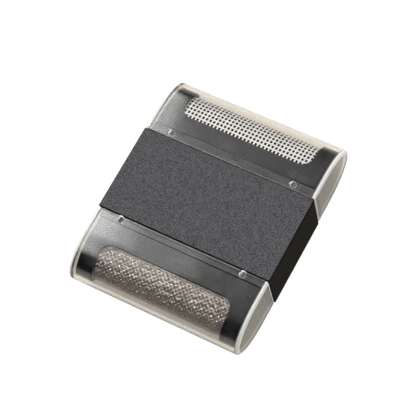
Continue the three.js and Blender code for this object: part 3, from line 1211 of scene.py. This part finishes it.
class NoseBend:
    """Bends a flat sheet round the nose at one depth.

    The flat sheet's Y runs along the bend, from the foil's upper straight edge to the lower, its
    X across, and its Z out of the nose.
    """

    def __init__(self, end: EndSizes, depth: float) -> None:
        """Lays out the bend.

        Args:
            end: the end that it is at.
            depth: how deep the sheet's outer face lies below a cap's.
        """
        self.start = SIZES.seam(end) + SIZES.shoulder + SIZES.foil_clearance
        self.reach = SIZES.nose_reach - depth
        self.rise = SIZES.half_height_at(depth)
        self.points = self._outline()

    def _outline(self, steps: int = 240) -> List[Tuple[float, float]]:
        """Points along the bend, as (Y, height over the middle).

        Args:
            steps: facets round the nose.

        Returns:
            The points, from the upper straight edge to the lower.
        """
        turns = [math.pi * i / steps for i in range(steps + 1)]
        arc = [
            (SIZES.nose_centre + self.reach * math.sin(turn), self.rise * math.cos(turn))
            for turn in turns
        ]
        return [(self.start, self.rise), *arc, (self.start, -self.rise)]

    @property
    def length(self) -> float:
        """The sheet's length along the bend."""
        return sum(math.dist(a, b) for a, b in zip(self.points, self.points[1:]))

    @property
    def straight(self) -> float:
        """Length of each flat part before the nose begins."""
        return SIZES.nose_centre - self.start

    def bend(self, sheet: Solid) -> Solid:
        """Bends a flat sheet into place.

        Args:
            sheet: the flat piece.

        Returns:
            The same piece, bent.
        """
        data = sheet.obj.data
        lengths = [0.0]
        for a, b in zip(self.points, self.points[1:]):
            lengths.append(lengths[-1] + math.dist(a, b))
        step = 0
        for vertex in sorted(data.vertices, key=lambda v: v.co.y):
            x, along, out = vertex.co
            while step < len(lengths) - 2 and lengths[step + 1] < along:
                step += 1
            share = (along - lengths[step]) / (lengths[step + 1] - lengths[step])
            (y0, z0), (y1, z1) = self.points[step], self.points[step + 1]
            y, z = y0 + (y1 - y0) * share, z0 + (z1 - z0) * share
            normal = self._normal(y, z)
            vertex.co = (x, y + out * normal[0], SIZES.mid_height + z + out * normal[1])
        data.update()
        return sheet

    def _normal(self, y: float, z: float) -> Tuple[float, float]:
        """The outward direction at a point of the bend.

        Args:
            y: Y of the point.
            z: its height over the middle.

        Returns:
            The direction along Y and Z, of length 1.
        """
        forward = max(y - SIZES.nose_centre, 0.0) / self.reach**2
        upward = z / self.rise**2
        size = math.hypot(forward, upward)
        return forward / size, upward / size


@dataclass(frozen=True)
class CoarseFoil:
    """The rear head's foil: bright steel with rows of nearly square holes."""

    end: EndSizes = COARSE
    pitch_x: float = 1.85 * MM
    columns: int = 35
    rows: int = 17
    row_margin: float = 2.01 * MM
    web: float = 0.38 * MM
    corner: float = 0.13 * MM
    hole_sides: int = 12
    thickness: float = 0.28 * MM
    shade_sheet_depth: float = 0.45 * MM
    shade_sheet_gauge: float = 0.1 * MM
    slices: int = 60

    def build(self) -> None:
        """Punches a flat sheet, backs it with a black strip of painted shade, and bends both round
        the nose.
        """
        bend = NoseBend(self.end, SIZES.foil_depth)
        made = self.sheet(bend).joined(self.shade_sheet(bend))
        bend.bend(made).smooth()
        name = self.end.name
        made.finished(
            f"{name}_foil_sheet", COARSE_STEEL, f"{name}_head", "coarse_foil_steel", f"{name}_foil"
        )

    def sheet(self, bend: NoseBend) -> Solid:
        """The flat punched sheet, black inside and in its holes as painted shade.

        Args:
            bend: the bend that it will follow.

        Returns:
            The sheet, still flat.
        """
        first = bend.straight + self.row_margin
        last = bend.length - first
        width = self.columns * self.pitch_x / 2
        clear_bench()
        bpy.ops.mesh.primitive_grid_add(
            x_subdivisions=self.columns,
            y_subdivisions=self.rows,
            size=1,
            location=(0, (first + last) / 2, 0),
        )
        bpy.context.object.scale = (2 * width, last - first, 1)
        made = Solid(bpy.context.object)
        made.edit("FACE")
        bpy.ops.mesh.select_all(action="SELECT")
        bpy.ops.mesh.inset(thickness=self.web, use_individual=True)
        bpy.ops.mesh.bevel(offset=self.corner, segments=2, affect="VERTICES")
        made.pick_faces(lambda f: len(f.verts) >= self.hole_sides)
        bpy.ops.mesh.delete(type="FACE")
        self._border(made, 0, both(width), both(SIZES.foil_half))
        self._border(made, 1, (first, last), (0.0, bend.length))
        made.merged()
        # The inner face and the hole walls take the black painted-shade finish.
        add_finishes(made.obj, COARSE_STEEL, PAINTED_SHADE_LINING)
        made.modify(
            "SOLIDIFY",
            thickness=self.thickness,
            offset=-1,
            material_offset=1,
            material_offset_rim=1,
        )
        return made.sliced(bend.length, self.slices)

    def shade_sheet(self, bend: NoseBend) -> Solid:
        """A black strip behind the holes: painted shade for what the holes show.

        Args:
            bend: the bend that it will follow.

        Returns:
            The strip, still flat.
        """
        depth = self.shade_sheet_depth
        made = Solid.block(
            both(SIZES.foil_half), (0, bend.length), (-depth, -depth + self.shade_sheet_gauge)
        )
        add_finishes(made.obj, PAINTED_SHADE_LINING)
        return made.sliced(bend.length, self.slices)

    @staticmethod
    def _border(made: Solid, axis: int, edges: Span, outer: Span) -> None:
        """Draws the sheet's two edges across one axis out to its full size.

        Args:
            made: the sheet.
            axis: 0 for X, 1 for Y.
            edges: where the two edges lie.
            outer: where they go.
        """
        for old, new in zip(edges, outer):
            made.pick_edges(lambda e: made.on_plane(e, axis, old))
            move = [0.0, 0.0, 0.0]
            move[axis] = new - old
            bpy.ops.mesh.extrude_region_move(TRANSFORM_OT_translate={"value": move})


@dataclass(frozen=True)
class FineFoil:
    """The front head's foil: a net of flat crimped steel strands on a thin frame."""

    end: EndSizes = FINE
    pitch: float = 1.05 * MM
    strand: float = 0.68 * MM
    gauge: float = 0.14 * MM
    wave: float = 0.16 * MM
    wave_cuts: int = 7
    crinkle: float = 0.9 * MM
    crinkle_size: float = 1.7 * MM
    net_depth: float = 0.25 * MM
    net_overlap: float = 0.8 * MM
    net_margin: float = 0.75 * MM
    rim_layer: Span = (-0.35 * MM, -0.15 * MM)
    rim_margin: float = 1.2 * MM
    rim_overlap: float = 0.3 * MM
    backing_depth: float = 0.95 * MM
    backing_gauge: float = 0.1 * MM
    backing_margin: float = 0.6 * MM
    crimps: int = 19
    crimp_spacing: float = 3.3 * MM
    crimp_setback: float = 2.4 * MM
    crimp_depth: float = 0.12 * MM
    crimp_turn: float = 0.6
    crimp_radii: Tuple[float, float, float] = (0.85 * MM, 0.5 * MM, 0.22 * MM)
    slices: int = 90

    def strand_pair(self, across: bool, phase: float, offset: float) -> Solid:
        """One crimped strand, two pitches long.

        Args:
            across: whether it runs along Y instead of X.
            phase: where in its wave it starts, in radians.
            offset: how far its middle lies from the axis that it runs along.

        Returns:
            The strand.
        """
        length = 2 * self.pitch
        made = Solid.block((0, length), about(0, self.strand / 2), about(0, self.gauge / 2))
        made.pick_edges(lambda e: abs(e.verts[0].co.x - e.verts[1].co.x) > TINY)
        bpy.ops.mesh.subdivide(number_cuts=self.wave_cuts)
        made.pick_faces(lambda f: abs(f.normal.x) > 0.9)
        bpy.ops.mesh.delete(type="FACE")
        clear_bench()
        for vertex in made.obj.data.vertices:
            vertex.co.z += self.wave * math.sin(2 * math.pi * vertex.co.x / length + phase)
        made.obj.location = (offset, 0, 0) if across else (0, offset, 0)
        if across:
            made.obj.rotation_euler = (0, 0, math.pi / 2)
        return made.settle()

    def net(self, bend: NoseBend) -> Solid:
        """The woven net, as large as the window and a little more.

        Args:
            bend: the bend that it will follow.

        Returns:
            The net, still flat.
        """
        near, far = self.pitch / 2, 3 * self.pitch / 2
        made = self.strand_pair(False, 0.0, near).joined(
            self.strand_pair(False, math.pi, far),
            self.strand_pair(True, math.pi, near),
            self.strand_pair(True, 0.0, far),
        )
        unit = 2 * self.pitch
        columns = math.ceil(2 * (SIZES.window_half + self.net_overlap) / unit)
        rows = math.ceil((bend.length - 2 * (bend.straight + self.net_margin)) / unit)
        for axis, count in ((0, columns), (1, rows)):
            step = [0.0, 0.0, 0.0]
            step[axis] = unit
            made.modify(
                "ARRAY",
                count=count,
                use_relative_offset=False,
                use_constant_offset=True,
                constant_offset_displace=step,
                use_merge_vertices=True,
                merge_threshold=TINY,
            )
        start = (bend.length - rows * unit) / 2
        made.obj.location = (-columns * unit / 2, start, -self.net_depth)
        made.settle()
        clouds = bpy.data.textures.new("crinkle", "CLOUDS")
        clouds.noise_scale = self.crinkle_size
        return made.modify("DISPLACE", texture=clouds, strength=self.crinkle, direction="Z")

    def rim(self, bend: NoseBend) -> Solid:
        """The thin frame round the net, under the shell's edge.

        Args:
            bend: the bend that it will follow.

        Returns:
            The frame, still flat.
        """
        top = bend.straight + self.rim_margin
        made = Solid.block(both(SIZES.foil_half), (0, bend.length), self.rim_layer)
        opening = Solid.block(
            both(SIZES.window_half - self.rim_overlap), (top, bend.length - top), both(1 * MM)
        )
        opening.round_edges(
            lambda e: abs(e.verts[0].co.z - e.verts[1].co.z) > TINY, SIZES.window_corner, 8
        )
        return made.work(Join.CUT, opening).sliced(bend.length, self.slices)

    def backing(self, bend: NoseBend) -> Solid:
        """The plain strip behind the net; its finish keeps the second slot when it is joined.

        Args:
            bend: the bend that it will follow.

        Returns:
            The strip, still flat.
        """
        margin = bend.straight + self.backing_margin
        made = Solid.block(
            both(SIZES.window_half + self.backing_margin),
            (margin, bend.length - margin),
            (-self.backing_depth, -self.backing_depth + self.backing_gauge),
        )
        made.sliced(bend.length, self.slices)
        add_finishes(made.obj, FINE_BACKING, FINE_BACKING)
        for face in made.obj.data.polygons:
            face.material_index = 1
        return made

    def crimp_row(self, along: float) -> List[Solid]:
        """The bright folds that pin the net to its frame along one straight edge.

        Args:
            along: how far along the bend the row lies.

        Returns:
            The folds, still flat.
        """
        row = []
        for number in range(self.crimps):
            x = (number - (self.crimps - 1) / 2) * self.crimp_spacing
            clear_bench()
            bpy.ops.mesh.primitive_uv_sphere_add(
                segments=12,
                ring_count=6,
                radius=1,
                location=(x, along, -self.crimp_depth),
                rotation=(0, 0, self.crimp_turn),
            )
            bpy.context.object.scale = self.crimp_radii
            row.append(Solid(bpy.context.object))
        return row

    def build(self) -> None:
        """Weaves the net, frames it, bends all its parts and joins them."""
        bend = NoseBend(self.end, SIZES.foil_depth)
        edge = bend.straight + self.crimp_setback
        made = bend.bend(self.rim(bend))
        parts = [self.net(bend), self.backing(bend)]
        parts += self.crimp_row(edge) + self.crimp_row(bend.length - edge)
        made.joined(*(bend.bend(part) for part in parts))
        made.half_turn().smooth(50)
        name = self.end.name
        made.finished(
            f"{name}_foil_net", FINE_STEEL, f"{name}_head", "fine_foil_steel", f"{name}_foil"
        )


# ---- The caps ----


@dataclass(frozen=True)
class ClearCap:
    """A clear hollow nose, open towards the grip, with four low snap nubs inside."""

    end: EndSizes
    nub_x: float = 30.5 * MM
    nub_radius: float = 1.6 * MM
    nub_height: float = 1.0 * MM
    swell_radius: float = 1.55 * MM
    swell_height: float = 0.2 * MM
    swell_root: float = 0.1 * MM
    rim: float = 0.3 * MM
    inner_edge: float = 0.4 * MM
    ring: float = 0.7 * MM
    flat_area: float = 5e-5

    @property
    def nub_y(self) -> float:
        """Y of the nubs, before the front cap is turned."""
        return SIZES.grip_half + self.end.nub_setback

    def nub(self, x: float, y: float, way: int) -> Solid:
        """A low dome on the cap's inner face, above or below.

        Args:
            x: X of its middle.
            y: Y of its middle.
            way: 1 for the upper face, -1 for the lower.

        Returns:
            The dome.
        """
        face = SIZES.mid_height + way * SIZES.half_height_at(SIZES.cap_wall)
        clear_bench()
        bpy.ops.mesh.primitive_uv_sphere_add(
            segments=32, ring_count=16, radius=1, location=(x, y, face)
        )
        bpy.context.object.scale = (self.nub_radius, self.nub_radius, self.nub_height)
        return Solid(bpy.context.object)

    def swell(self, x: float, y: float, way: int) -> Solid:
        """The faint outward swelling over a nub.

        Args:
            x: X of its middle.
            y: Y of its middle.
            way: 1 for the upper face, -1 for the lower.

        Returns:
            The swelling.
        """
        ball = (self.swell_radius**2 + self.swell_height**2) / (2 * self.swell_height)
        face = SIZES.mid_height + way * SIZES.half_height_at(0.0)
        place = (x, y, face + way * (self.swell_height - ball))
        clear_bench()
        bpy.ops.mesh.primitive_uv_sphere_add(
            segments=48, ring_count=96, radius=ball, location=place
        )
        made = Solid(bpy.context.object)
        made.edit("VERT")
        bpy.ops.mesh.select_all(action="SELECT")
        bpy.ops.mesh.bisect(
            plane_co=(x, y, face - way * self.swell_root),
            plane_no=(0, 0, way),
            clear_inner=True,
            use_fill=True,
            threshold=TINY,
        )
        clear_bench()
        return made

    def hollow(self) -> Solid:
        """The hollow nose, with a ring marked round each flat side and its rim eased.

        Returns:
            The cap without its nubs.
        """
        size = SIZES
        wall = size.cap_wall
        made = Solid.nose(0.0, size.mouth, size.half_width_at(0.0), size.cap_edge)
        made.pick_faces(lambda f: abs(f.normal.x) > 0.99 and f.calc_area() > self.flat_area)
        bpy.ops.mesh.inset(thickness=self.ring, use_boundary=True)
        bore = Solid.nose(
            wall, size.mouth - size.run_out, size.half_width_at(wall), self.inner_edge
        )
        return made.work(Join.CUT, bore).round_edges(
            lambda e: made.on_plane(e, 1, size.mouth) and e.calc_face_angle(0.0) > 0.8, self.rim, 3
        )

    def build(self) -> None:
        """Builds and dresses the cap."""
        made = self.hollow()
        spots = [(x, self.nub_y, way) for x in both(self.nub_x) for way in (-1, 1)]
        made.work(Join.ADD, *(self.swell(*spot) for spot in spots))
        made.work(Join.ADD, *(self.nub(*spot) for spot in spots))
        if self.end.turned:
            made.half_turn()
        made.merged().smooth()
        name = self.end.name
        cap = made.finished(
            f"{name}_clear_cap", CAP_PLASTIC, f"{name}_cap_body", "clear_plastic", f"{name}_cap"
        )
        add_finishes(cap, CAP_EDGE_HIGHLIGHT, CAP_NUB_HIGHLIGHT, CAP_SIDE_SHADE)
        self._dress_faces(cap)

    def _dress_faces(self, cap: bpy.types.Object) -> None:
        """Frosts the mouth and the rings whitish as painted highlight, tints the flat sides darker
        as painted shade, and frosts the nubs pale as scuffing and painted highlight.

        Args:
            cap: the finished cap.
        """
        side = SIZES.half_width_at(SIZES.cap_edge)
        inner = SIZES.half_height_at(SIZES.cap_wall)
        for face in cap.data.polygons:
            x, y = abs(face.center.x), abs(face.center.y)
            mouth = y < SIZES.mouth + 0.7 * self.rim
            flank = x > side
            near = math.dist((x, y), (self.nub_x, self.nub_y)) < self.nub_radius
            low = abs(face.center.z - SIZES.mid_height) < inner - TINY
            # Mouth rim and small edge faces: the whitish painted-highlight frosting.
            if mouth or (flank and face.area < self.flat_area):
                face.material_index = 1
            # Broad flat sides: the darker painted-shade tint.
            elif flank:
                face.material_index = 3
            # Nub domes: the pale finish, partly scuffing and partly painted highlight.
            elif near and low:
                face.material_index = 2


# ---- The studio ----


@dataclass(frozen=True)
class Studio:
    """A white floor, a room of soft light painted on the world, and the camera."""

    floor_size: float = 6.0
    floor_drop: float = 0.05 * MM
    floor_dark: Colour = (0.345, 0.322, 0.285, 1)
    floor_pale: Colour = (0.385, 0.36, 0.32, 1)
    floor_patch: float = 0.4
    floor_glow: float = 0.27
    glow_colour: Colour = (1.0, 0.935, 0.85, 1)
    seen_white: float = 1.05
    lamp_strength: float = 1.7
    spot_strength: float = 13.0
    air: Colour = (0.98, 0.985, 1.0, 1)
    lens: float = 147.1
    sensor: float = 36.0
    azimuth: float = 45.3
    elevation: float = 63.9
    roll: float = -18.5
    distance: float = 749.9 * MM
    target: Tuple[float, float, float] = (0, 0, 12.7 * MM)
    slide: Tuple[float, float] = (-0.62 * MM, 2.65 * MM)

    def floor(self) -> None:
        """A floor that the camera sees plain white and that lights the object from below."""
        clear_bench()
        bpy.ops.mesh.primitive_plane_add(
            size=self.floor_size, location=(0, 0, -self.floor_drop)
        )
        made = Solid(bpy.context.object).obj
        made.name = "floor"
        material = bpy.data.materials.new("white_floor")
        recipe = Recipe(material)
        seen = recipe.node("ShaderNodeLightPath", output="Is Camera Ray")
        white = self._glowing(recipe, (1, 1, 1, 1), self.seen_white)
        patches = recipe.noise(self.floor_patch)
        tone = recipe.blend(patches, self.floor_dark, self.floor_pale)
        matt = recipe.node("ShaderNodeBsdfDiffuse", inputs={"Color": tone})
        glow = self._glowing(recipe, self.glow_colour, self.floor_glow)
        lit = recipe.node("ShaderNodeAddShader", inputs={0: matt, 1: glow})
        recipe.close(recipe.node("ShaderNodeMixShader", inputs={0: seen, 1: lit, 2: white}))
        made.data.materials.append(material)

    @staticmethod
    def _glowing(recipe: Recipe, colour: Colour, strength: float) -> Term:
        """An emission shader."""
        return recipe.node("ShaderNodeEmission", inputs={"Color": colour, "Strength": strength})

    def light(self) -> None:
        """Paints the room's light by direction.

        left and deep say where a ray meets a ceiling one unit up: left is X, below 0 on the left,
        and deep is Y, above 0 behind the object.
        """
        world = bpy.data.worlds.new("studio")
        bpy.context.scene.world = world
        recipe = Recipe(world)
        way = recipe.node("ShaderNodeTexCoord", output="Generated")
        x, y, z = recipe.parts(way)
        height = z.at_least(0.02)
        left = x / height
        deep = y / height
        # A tall soft sheet on the left, with a sharp inner edge; brighter and narrower behind.
        front = deep.ramped(0.40, 0.34)
        band = 0.16 + x.ramped(-0.58, -0.47) * 0.84
        near = (left.ramped(-0.325, -0.34) + left.ramped(-0.37, -0.425) * 6.0) * band
        far = (x.ramped(-0.345, -0.354) * 3.2 + x.ramped(-0.37, -0.42) * 7.0) * band
        sheet = (
            (0.08 + left.ramped(-0.24, -0.12) * 1.1 + near * front + far * (1 - front))
            * left.ramped(-4.5, -2.5)
            * deep.ramped(-0.58, -0.05)
            * deep.ramped(3.4, 1.4)
        )
        # A broad lamp on the right and a small bright one on the left.
        lamp = self._panel(left, (0.45, 0.8, 2.0, 3.2), deep, (-1.4, -0.8, 1.4, 2.2))
        spot = self._panel(left, (-1.05, -0.92, -0.72, -0.62), deep, (0.0, 0.15, 0.7, 0.85))
        # A pale wall all round, dimmer behind.
        ring = z.ramped(0.3, 0.04) * (0.94 - y.ramped(0.2, 0.9) * 0.5)
        strength = 0.02 + ring + sheet + lamp * self.lamp_strength + spot * self.spot_strength
        shine = recipe.node(
            "ShaderNodeBackground", inputs={"Color": self.air, "Strength": strength}
        )
        recipe.close(shine, "ShaderNodeOutputWorld")

    @staticmethod
    def _panel(left: Term, lefts: Fade, deep: Term, deeps: Fade) -> Term:
        """A soft-edged rectangle of light.

        Args:
            left: the X coordinate on the ceiling.
            lefts: where it begins, is full, begins to fade and ends along X.
            deep: the Y coordinate.
            deeps: the same four places along Y.

        Returns:
            Its strength, 0 to 1.
        """
        return (
            left.ramped(lefts[0], lefts[1])
            * left.ramped(lefts[3], lefts[2])
            * deep.ramped(deeps[0], deeps[1])
            * deep.ramped(deeps[3], deeps[2])
        )

    def camera(self) -> None:
        """The camera, above and to the right of the front end."""
        az, el, roll = (math.radians(v) for v in (self.azimuth, self.elevation, self.roll))
        back = Vector(
            (math.sin(az) * math.cos(el), -math.cos(az) * math.cos(el), math.sin(el))
        )
        right = Vector((math.cos(az), math.sin(az), 0))
        up = back.cross(right)
        across = right * math.cos(roll) + up * math.sin(roll)
        upward = up * math.cos(roll) - right * math.sin(roll)
        place = (
            Vector(self.target)
            + back * self.distance
            + across * self.slide[0]
            + upward * self.slide[1]
        )
        data = bpy.data.cameras.new("camera")
        data.lens = self.lens
        data.sensor_width = self.sensor
        data.clip_start = 0.01
        made = bpy.data.objects.new("camera", data)
        bpy.context.scene.collection.objects.link(made)
        turn = Matrix((across, upward, back)).transposed().to_4x4()
        made.matrix_world = Matrix.Translation(place) @ turn
        bpy.context.scene.camera = made

    def build(self) -> None:
        """Sets the stage."""
        bpy.context.scene.view_settings.view_transform = "Standard"
        self.floor()
        self.light()
        self.camera()
        LOG.info("studio ready")


def main() -> None:
    """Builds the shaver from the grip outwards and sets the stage."""
    logging.basicConfig(level=logging.INFO, format="%(message)s", force=True)
    Studio().build()
    Grip().build()
    for end in (COARSE, FINE):
        HeadShell(end).build()
    CoarseFoil().build()
    FineFoil().build()
    for end in (COARSE, FINE):
        ClearCap(end).build()
    clear_bench()


if __name__ == "__main__":
    main()
